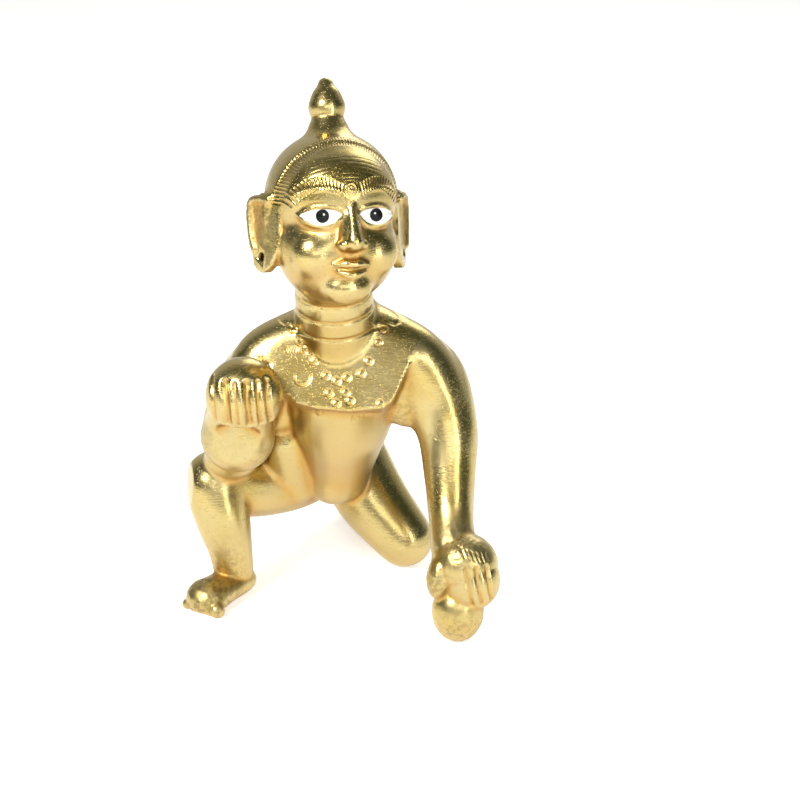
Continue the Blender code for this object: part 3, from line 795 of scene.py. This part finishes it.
def chase_chest(item):
    """The strings of punched rings, the crescent and the short marks on the chest plate."""
    aim = (0, 0.94, -0.34)
    string = [(-8.4, -17, 57.5), (-7.2, -17.8, 55.4), (-6.4, -18.4, 54.1), (-4.6, -19.2, 52.1)]
    string += [(-2.4, -20, 49.4), (-0.4, -21, 48.7)]
    string += [(8.5, -17, 57.5), (7.4, -18, 55.3), (5.6, -19.6, 52.1), (4.2, -21, 50.2)]
    cluster = [(-1.8, -21, 46.3), (1.5, -21, 49.4), (1.3, -21, 46.4)]
    cluster += [(-0.4, -21, 44.3), (2.1, -21, 44.8)]
    edge = [(-3.8, -21, 42.4), (7.8, -20, 43.8)]
    rings = ring_on(item, string + cluster + edge, CHEST_RING_RADIUS, aim)
    strokes(item, rings, *CHEST_RINGS)
    crescent = []
    for degrees in range(-100, 81, 12):
        angle = math.radians(degrees - 80)
        crescent.append((-6.7 + 1.5 * math.cos(angle), -20, 49.3 + 1.9 * math.sin(angle)))
    marks = [crescent]
    for k in range(6):
        marks.append(line_between((-9.6 + k * 0.5, -18, 53.4), (-9.4 + k * 0.5, -18, 54.4), 5))
    for k in range(5):
        marks.append(line_between((2.6 + k * 0.55, -20, 40.6), (2.7 + k * 0.55, -20, 41.4), 5))
    strokes(item, on_skin(item, marks, aim), *CHEST_MARKS)


def chase_knuckles(item):
    """Hatching over the knuckles of the leaning fist."""
    lines = []
    for k in range(6):
        start = (22.9 + k * 0.9, 0, 19.3 - k * 0.25)
        end = (23.5 + k * 0.9, 0, 17.8 - k * 0.25)
        lines.append(line_between(start, end, 6))
    strokes(item, on_skin(item, lines, (0, 1, 0)), *KNUCKLE_HATCHING)


# Wear and painted light, kept on the skin as attributes: where the casting was left rough, how deep a
# spot lies and how far it faces down. The material paints shade into the deep spots and a warm
# reflection on those facing down.

# Rough cast patches: a spot on the grid, how far the patch reaches and how rough it is.
ROUGH_SPOTS = (
    ((22.5, -28.5, 19.5), 4.2, 1.0),
    ((-25.5, -18.0, 3.0), 8.0, 0.9),
    ((-22.5, -14.0, 8.0), 3.2, 0.7),
    ((-14.0, 0.5, 19.0), 2.6, 1.0),
    ((-10.0, 3.0, 15.0), 2.6, 0.9),
    ((-26.5, -18.0, 35.0), 4.5, 0.9),
    ((-14.0, -20.0, 33.0), 3.6, 0.6),
    ((17.5, -31.5, 12.0), 3.6, 0.7),
    ((22.8, -31.0, 2.5), 5.0, 0.7),
    ((12.5, -12.0, 40.0), 3.6, 0.9),
    ((3.0, 30.0, 5.0), 11.0, 0.6),
)
EAR_ROUGHNESS = 0.5

# Rounds of mixing with the neighbours, and how strongly depth counts as a crease.
ROUGH_ROUNDS, CREASE_ROUNDS = 6, 14
CREASE_GAIN = 6

# A spot faces down when its normal rises less than this.
# The material paints a warm reflection on the brass that faces down, as if lit by light thrown up from
# below.
UNDER_RISE = 0.1

# Skin that is rougher than this gets lumps: how high each kind is, and how fine.
SMOOTH_ENOUGH = 0.08
LUMPS = ((0.16, 0.9), (0.12, 2.1))


def keep_attribute(item, name, amount):
    layer = item.data.attributes.new(name, "FLOAT", "POINT")
    layer.data.foreach_set("value", np.ascontiguousarray(amount, dtype=np.float32))


def neighbour_mean(item, amount, rounds):
    """The amount at each corner, mixed with its neighbours' so many times over."""
    ends = np.empty(len(item.data.edges) * 2, int)
    item.data.edges.foreach_get("vertices", ends)
    a, b = ends.reshape(-1, 2).T
    size = len(item.data.vertices)
    near = np.bincount(a, minlength=size) + np.bincount(b, minlength=size)
    for _ in range(rounds):
        total = np.bincount(a, amount[b], size) + np.bincount(b, amount[a], size)
        amount = 0.5 * amount + 0.5 * total / near
    return amount


def depth_of(item, rounds):
    """How far each corner lies under the mean of its surroundings; negative on what stands proud."""
    corners = corners_of(item)
    mean = np.stack([neighbour_mean(item, corners[:, axis], rounds) for axis in range(3)], axis=1)
    return np.sum((mean - corners) * normals_of(item), axis=1)


def note_wear_and_painted_light(item):
    """Keeps the wear as the attribute rough, and the depth and the facing down as crease and under, from
    which the material paints shade and a warm reflection.
    """
    corners = corners_of(item)
    rough = np.zeros(len(corners))
    for spot, reach, amount in ROUGH_SPOTS:
        away = np.linalg.norm(corners - np.array(spot), axis=1)
        rough = np.maximum(rough, amount * mound(away, reach))
    for side in SIDES:
        x, y, z = in_frame(corners, ear_frame(side)).T
        plate = (x > 0.5) & (x < 8) & (z > -6.5) & (z < 5) & (np.abs(y) < 2.5)
        rough = np.maximum(rough, EAR_ROUGHNESS * plate)
    keep_attribute(item, "rough", neighbour_mean(item, rough, ROUGH_ROUNDS))
    keep_attribute(item, "crease", np.clip(depth_of(item, CREASE_ROUNDS) * CREASE_GAIN, -1, 1))
    keep_attribute(item, "under", np.clip(UNDER_RISE - normals_of(item)[:, 2], 0, 1))


def roughen(item):
    """Lumps and pits in the skin where the casting was left rough."""
    rough = np.empty(len(item.data.vertices), dtype=np.float32)
    item.data.attributes["rough"].data.foreach_get("value", rough)
    corners = corners_of(item)
    amount = np.zeros(len(corners))
    for index in np.flatnonzero(rough > SMOOTH_ENOUGH):
        spot = Vector(corners[index])
        lump = sum(height * noise.noise(spot * fineness) for height, fineness in LUMPS)
        amount[index] = rough[index] * lump
    swell(item, amount)


def set_in_place(item):
    """Scales the skin from the grid to the size and place of the solid in the frame."""
    low, high = (Vector(corner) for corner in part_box(NODE))
    corners = corners_of(item)
    scale = (high.z - low.z) / corners[:, 2].max()
    corners *= scale
    first, last = corners.min(axis=0), corners.max(axis=0)
    middle = (low + high) / 2
    shift = Vector((middle.x - (first[0] + last[0]) / 2, middle.y - (first[1] + last[1]) / 2, low.z))
    place_corners(item, corners + np.array(shift))
    bm = bmesh.new()
    bm.from_mesh(item.data)
    everything = bm.verts[:] + bm.edges[:] + bm.faces[:]
    cut = bmesh.ops.bisect_plane(
        bm, geom=everything, dist=1e-6, plane_co=(0, 0, 0), plane_no=(0, 0, -1), clear_outer=True
    )
    rims = [part for part in cut["geom_cut"] if isinstance(part, bmesh.types.BMEdge)]
    bmesh.ops.holes_fill(bm, edges=rims, sides=0)
    bmesh.ops.triangulate(bm, faces=bm.faces)
    bm.to_mesh(item.data)
    bm.free()
    return Matrix.Translation(shift) @ Matrix.Scale(scale, 4)


def drill_earrings(item, placed):
    """A hole for an earring through each lobe, square to the ear."""
    for side in SIDES:
        x, z = EARRING_HOLE_AT
        hole_frame = placed @ ear_frame(side) @ Matrix.Translation((x, 0, z))
        bpy.ops.object.select_all(action="DESELECT")
        bpy.ops.mesh.primitive_cylinder_add(
            vertices=40, radius=EARRING_HOLE_WIDTH / 2, depth=2.2 * EAR_THICKNESS * placed[0][0]
        )
        drill = bpy.context.object
        aim = hole_frame.to_3x3().normalized() @ Matrix.Rotation(math.radians(90), 3, "X")
        drill.matrix_world = Matrix.LocRotScale(hole_frame.to_translation(), aim.to_quaternion(), None)
        hole = item.modifiers.new("hole", "BOOLEAN")
        hole.operation = "DIFFERENCE"
        hole.solver = "EXACT"
        hole.object = drill
        apply_modifiers(item)
        bpy.data.objects.remove(drill, do_unlink=True)


# Materials


class Wire:
    """A node's output socket, wrapped so that shader maths can be written with it."""

    def __init__(self, tree, socket):
        self.tree = tree
        self.socket = socket

    def node(self, kind, output=0, settings=(), **values):
        """Adds a node: its settings first, then the values or links of its sockets."""
        made = self.tree.nodes.new(kind)
        for name, value in settings:
            setattr(made, name, value)
        for name, value in values.items():
            index = int(name[1:]) if name[0] == "n" and name[1:].isdigit() else name.replace("_", " ")
            if isinstance(value, Wire):
                self.tree.links.new(value.socket, made.inputs[index])
            else:
                made.inputs[index].default_value = value
        return Wire(self.tree, made.outputs[output])

    def math(self, operation, *values, clamp=False):
        named = {f"n{index}": value for index, value in enumerate(values)}
        settings = (("operation", operation), ("use_clamp", clamp))
        return self.node("ShaderNodeMath", settings=settings, **named)

    def __add__(self, other):
        return self.math("ADD", self, other)

    def __sub__(self, other):
        return self.math("SUBTRACT", self, other)

    def __mul__(self, other):
        return self.math("MULTIPLY", self, other)

    def __truediv__(self, other):
        return self.math("DIVIDE", self, other)

    def __pow__(self, other):
        return self.math("POWER", self, other)

    def __neg__(self):
        return self * -1

    def __abs__(self):
        return self.math("ABSOLUTE", self)

    def __rsub__(self, other):
        return self.math("SUBTRACT", other, self)

    __radd__ = __add__
    __rmul__ = __mul__

    def most(self, other):
        return self.math("MAXIMUM", self, other)

    def clamp(self):
        return self.math("ADD", self, 0, clamp=True)

    def over(self, edge, soft):
        """Zero under the edge and one over it, with a soft step between."""
        return ((self - edge) / soft + 0.5).clamp()

    def dot(self, aim):
        settings = (("operation", "DOT_PRODUCT"),)
        return self.node("ShaderNodeVectorMath", output="Value", settings=settings, n0=self, n1=aim)

    def mix(self, low, high):
        """This wire as the share of the second colour."""
        settings = (("data_type", "RGBA"),)
        return self.node("ShaderNodeMix", output=2, settings=settings, n0=self, n6=low, n7=high)

    def mix_value(self, low, high):
        """This wire as the share of the second number."""
        settings = (("data_type", "FLOAT"),)
        return self.node("ShaderNodeMix", output=0, settings=settings, n0=self, n2=low, n3=high)

    def stretch(self, scale):
        return self.node("ShaderNodeMapping", Vector=self, Scale=scale)

    def grain(self, scale, detail, roughness=0.6):
        values = {"Scale": scale, "Detail": detail, "Roughness": roughness}
        return self.node("ShaderNodeTexNoise", Vector=self, **values)


def attribute(tree, name):
    made = tree.nodes.new("ShaderNodeAttribute")
    made.attribute_name = name
    return Wire(tree, made.outputs["Fac"])


# Colours of the finish, with the painted shade and the painted reflection, as linear red, green and
# blue.
BRASS_BRIGHT = (0.48, 0.36, 0.115, 1)
BRASS_PALE = (0.50, 0.405, 0.19, 1)
# Painted shade: the deeper colour painted into creases and hollows.
BRASS_PAINTED_CREASE_SHADE = (0.50, 0.26, 0.06, 1)
# Painted reflection: the warm colour painted on the faces that face down.
BRASS_PAINTED_REFLECTION = (0.48, 0.28, 0.086, 1)
BRASS_DARK = (0.10, 0.06, 0.02, 1)
ENAMEL_WHITE = (0.86, 0.85, 0.80, 1)
ENAMEL_BLACK = (0.006, 0.007, 0.008, 1)
BRASS_ROUGHNESS, ENAMEL_ROUGHNESS = 0.20, 0.28

# Noise in the metal, in repeats to the metre: clouds, flecks and specks, then two sets of
# scratches, each finest along one axis.
CLOUDS, FLECKS, SPECKS = 120.0, 900.0, 2600.0
SCRATCHES = (420.0, 420.0, 4200.0)
CROSS_SCRATCHES = (3600.0, 900.0, 500.0)
RELIEF_DEPTH = 0.00008

# The enamel, on the grid: how far forward it starts, how far it stays inside the lids, and its
# soft edge.
ENAMEL_FORWARD, ENAMEL_INSET, ENAMEL_EDGE = 6.0, 0.28, 0.1
# The pupil off the eye's middle, and the painted glint, a painted highlight, off the pupil's: how far
# in, how far up, the radius.
PUPIL_IN, PUPIL_UP, PUPIL_RADIUS = 0.15, 0.25, 1.22
PAINTED_GLINT_IN, PAINTED_GLINT_UP, PAINTED_GLINT_RADIUS = 0.25, 0.3, 0.17

# How far the darker colour round an earring hole goes past its edge, and how it fades there and off the
# plate.
HOLE_DARK_REACH, HOLE_DARK_FADE, PLATE_FADE = 0.06, 0.08, 0.2


def eye_masks(place, placed):
    """The white enamel's almond, the black pupil and the white glint painted in it as a highlight, in
    the head's own frame.
    """
    back = (placed @ HEAD_FRAME).inverted()
    x, y, z = (place.dot(tuple(back[row][:3])) + back[row][3] for row in range(3))
    outward = (abs(x) - EYE_OUT) / EYE_HALF_LENGTH
    lid_line = EYE_LINE + 0.5 * outward * outward
    bulge = (1 - outward * outward).most(0.0) ** 0.7
    inside = EYE_HALF_HEIGHT * bulge - abs(z - lid_line)
    front = (-y).over(ENAMEL_FORWARD, 0.5)
    enamel = inside.over(ENAMEL_INSET, ENAMEL_EDGE) * front
    off = abs(x) - EYE_OUT + PUPIL_IN
    rise = z - EYE_LINE - PUPIL_UP
    reach = (off * off + rise * rise) ** 0.5
    pupil = (-reach).over(-PUPIL_RADIUS, ENAMEL_EDGE) * enamel
    painted_glint_off = off + PAINTED_GLINT_IN
    painted_glint_rise = rise - PAINTED_GLINT_UP
    painted_glint_reach = (painted_glint_off * painted_glint_off + painted_glint_rise * painted_glint_rise) ** 0.5
    painted_glint = (-painted_glint_reach).over(-PAINTED_GLINT_RADIUS, ENAMEL_EDGE) * pupil
    return enamel, pupil, painted_glint


def earring_mask(place, placed):
    """One in and just round the two earring holes, where the brass is coloured darker."""
    bored = None
    for side in SIDES:
        back = (placed @ ear_frame(side)).inverted()
        x, y, z = (place.dot(tuple(back[row][:3])) + back[row][3] for row in range(3))
        x_off = x - EARRING_HOLE_AT[0]
        z_off = z - EARRING_HOLE_AT[1]
        reach = (x_off * x_off + z_off * z_off) ** 0.5
        near = (-reach).over(-EARRING_HOLE_WIDTH / 2 / placed[0][0] - HOLE_DARK_REACH, HOLE_DARK_FADE)
        near = near * (-abs(y)).over(-EAR_THICKNESS, PLATE_FADE)
        bored = near if bored is None else bored.most(near)
    return bored


def brass(placed):
    material = bpy.data.materials.new("brass")
    material.use_nodes = True
    tree = material.node_tree
    surface = tree.nodes["Principled BSDF"]
    place = Wire(tree, tree.nodes.new("ShaderNodeTexCoord").outputs["Object"])
    rough = attribute(tree, "rough")
    crease = attribute(tree, "crease")
    under = attribute(tree, "under")
    enamel, pupil, painted_glint = eye_masks(place, placed)
    bored = earring_mask(place, placed)
    cloud = place.grain(CLOUDS, 3.0)
    speck = place.grain(SPECKS, 3.0, 0.7)
    fleck = place.grain(FLECKS, 5.0, 0.7)
    scratch = place.stretch(SCRATCHES).grain(1.0, 2.0, 0.5)
    across = place.stretch(CROSS_SCRATCHES).grain(1.0, 2.0, 0.5)
    hollow = (crease * 1.3).clamp()
    proud = (-crease * 1.1).clamp()
    pitted = (speck.over(0.64, 0.06) * (0.25 + cloud)).clamp()
    dirty = (rough * fleck.over(0.52, 0.12)).clamp()
    tint = cloud.over(0.5, 0.3).mix(BRASS_BRIGHT, BRASS_PALE)
    # Painted reflection: the faces that face down are painted warmer, as if lit by reflected light from
    # below.
    tint = (under * 0.8).mix(tint, BRASS_PAINTED_REFLECTION)
    # Painted shade: creases and hollows are painted a deeper orange, where shade and the brass's
    # reflection of itself fall.
    tint = (hollow * 0.5).mix(tint, BRASS_PAINTED_CREASE_SHADE)
    tint = (proud * 0.5).mix(tint, BRASS_PALE)
    # Darker brass for the dirt in the rough patches and the pits, and darker brass in and just round the
    # earring holes.
    tint = (dirty * 0.7).most(pitted * 0.35).most(bored * 0.85).mix(tint, BRASS_DARK)
    tint = enamel.mix(tint, ENAMEL_WHITE)
    tint = pupil.mix(tint, ENAMEL_BLACK)
    # Painted highlight: a white glint painted on the black pupil.
    tint = painted_glint.mix(tint, ENAMEL_WHITE)
    polish = BRASS_ROUGHNESS + 0.12 * cloud + 0.12 * (scratch - 0.5).most(0.0)
    polish = polish + 0.22 * rough + 0.16 * hollow + 0.10 * under
    gloss = enamel.mix_value(polish, ENAMEL_ROUGHNESS)
    relief = 0.5 * scratch + 0.45 * across + 0.35 * speck + 1.2 * rough * fleck - 0.7 * pitted
    relief = relief * (1 - enamel)
    bump = relief.node("ShaderNodeBump", Strength=0.5, Distance=RELIEF_DEPTH, Height=relief)
    surface.inputs["Specular IOR Level"].default_value = 0.15
    links = (("Base Color", tint), ("Roughness", gloss), ("Metallic", 1 - enamel), ("Normal", bump))
    for name, wire in links:
        tree.links.new(wire.socket, surface.inputs[name])
    return material


def dress(item, placed):
    item.data.materials.clear()
    item.data.materials.append(brass(placed))
    for face in item.data.polygons:
        face.use_smooth = True


# Stage, light and camera

# The camera's height above the horizon in degrees, its aim and distance on the grid, and its lens
# in millimetres.
CAMERA_ELEVATION = 20.0
CAMERA_AIM = Vector((11.5, -10.0, 40.9))
CAMERA_DISTANCE = 360.0
CAMERA_LENS = 84.24

# The floor's width and how far it lies under the figure, in metres, and its own glow.
FLOOR_WIDTH, FLOOR_DROP = 6.0, 0.0002
FLOOR_GLOW = 0.58
FLOOR_COLOUR = (0.93, 0.93, 0.92, 1)

# The room's tones, as linear red, green and blue, and its brightness.
ROOM_AROUND = (0.62, 0.60, 0.52, 1)
ROOM_OVERHEAD = (0.14, 0.16, 0.12, 1)
ROOM_SIDES = (0.06, 0.09, 0.065, 1)
ROOM_AHEAD = (0.30, 0.27, 0.19, 1)
ROOM_BEHIND = (0.92, 0.92, 0.90, 1)
ROOM_STRENGTH = 0.72


def set_floor():
    bpy.ops.object.select_all(action="DESELECT")
    bpy.ops.mesh.primitive_plane_add(size=FLOOR_WIDTH, location=(0, 0, -FLOOR_DROP))
    floor = bpy.context.object
    floor.name = "floor"
    paper = bpy.data.materials.new("paper")
    paper.use_nodes = True
    surface = paper.node_tree.nodes["Principled BSDF"]
    surface.inputs["Base Color"].default_value = FLOOR_COLOUR
    surface.inputs["Roughness"].default_value = 0.9
    surface.inputs["Emission Color"].default_value = FLOOR_COLOUR
    surface.inputs["Emission Strength"].default_value = FLOOR_GLOW
    floor.data.materials.append(paper)


def set_camera(placed):
    rise = math.radians(CAMERA_ELEVATION)
    aim = Vector((0, math.cos(rise), -math.sin(rise)))
    lens = bpy.data.cameras.new("camera")
    lens.lens = CAMERA_LENS
    lens.sensor_width = 36.0
    lens.clip_start = 0.01
    camera = bpy.data.objects.new("camera", lens)
    bpy.context.scene.collection.objects.link(camera)
    camera.location = placed @ (CAMERA_AIM - aim * CAMERA_DISTANCE)
    camera.rotation_euler = aim.to_track_quat("-Z", "Y").to_euler()
    bpy.context.scene.camera = camera


def add_softbox(name, place, aim, size, power, colour=(1, 1, 1)):
    light = bpy.data.lights.new(name, "AREA")
    light.shape = "RECTANGLE"
    light.size, light.size_y = size
    light.energy = power
    light.color = colour
    box = bpy.data.objects.new(name, light)
    box.location = place
    box.rotation_euler = (Vector(aim) - Vector(place)).to_track_quat("-Z", "Y").to_euler()
    bpy.context.scene.collection.objects.link(box)


def set_light():
    """White softboxes in a room that is white behind the figure, dark overhead and at the sides."""
    world = bpy.data.worlds.new("room")
    world.use_nodes = True
    bpy.context.scene.world = world
    tree = world.node_tree
    sky = tree.nodes["Background"]
    facing = Wire(tree, tree.nodes.new("ShaderNodeTexCoord").outputs["Generated"])
    up = facing.dot((0, 0, 1))
    ahead = facing.dot((0, -1, 0))
    side = abs(facing.dot((1, 0, 0)))
    tone = up.over(0.70, 0.3).mix(ROOM_AROUND, ROOM_OVERHEAD)
    tone = (side.over(0.58, 0.3) * 0.96).mix(tone, ROOM_SIDES)
    tone = (ahead.over(0.85, 0.25) * 0.4).mix(tone, ROOM_AHEAD)
    tone = (-ahead).over(0.45, 0.5).mix(tone, ROOM_BEHIND)
    tree.links.new(tone.socket, sky.inputs["Color"])
    sky.inputs["Strength"].default_value = ROOM_STRENGTH
    middle = (0, 0, 0.05)
    add_softbox("key", (-0.35, -0.45, 0.55), middle, (0.24, 0.24), 7.0, (1, 0.98, 0.95))
    add_softbox("fill", (0.10, -0.75, 0.30), middle, (0.5, 0.14), 0.9)
    add_softbox("strip", (0.30, -0.42, 0.20), middle, (0.05, 0.5), 0.9)
    add_softbox("back", (0.2, 0.6, 0.5), middle, (0.5, 0.4), 1.6)


figure = build_figure()
thin_out(figure)
refine(figure)
chase_face(figure)
chase_hair_edge(figure)
chase_chest(figure)
chase_knuckles(figure)
note_wear_and_painted_light(figure)
roughen(figure)
placed = set_in_place(figure)
drill_earrings(figure, placed)
dress(figure, placed)
figure.name = "brass_figure"
figure.data.name = "brass_figure"
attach(figure, "root")
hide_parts(NODE)

set_floor()
set_camera(placed)
set_light()
bpy.context.scene.view_settings.view_transform = "Standard"
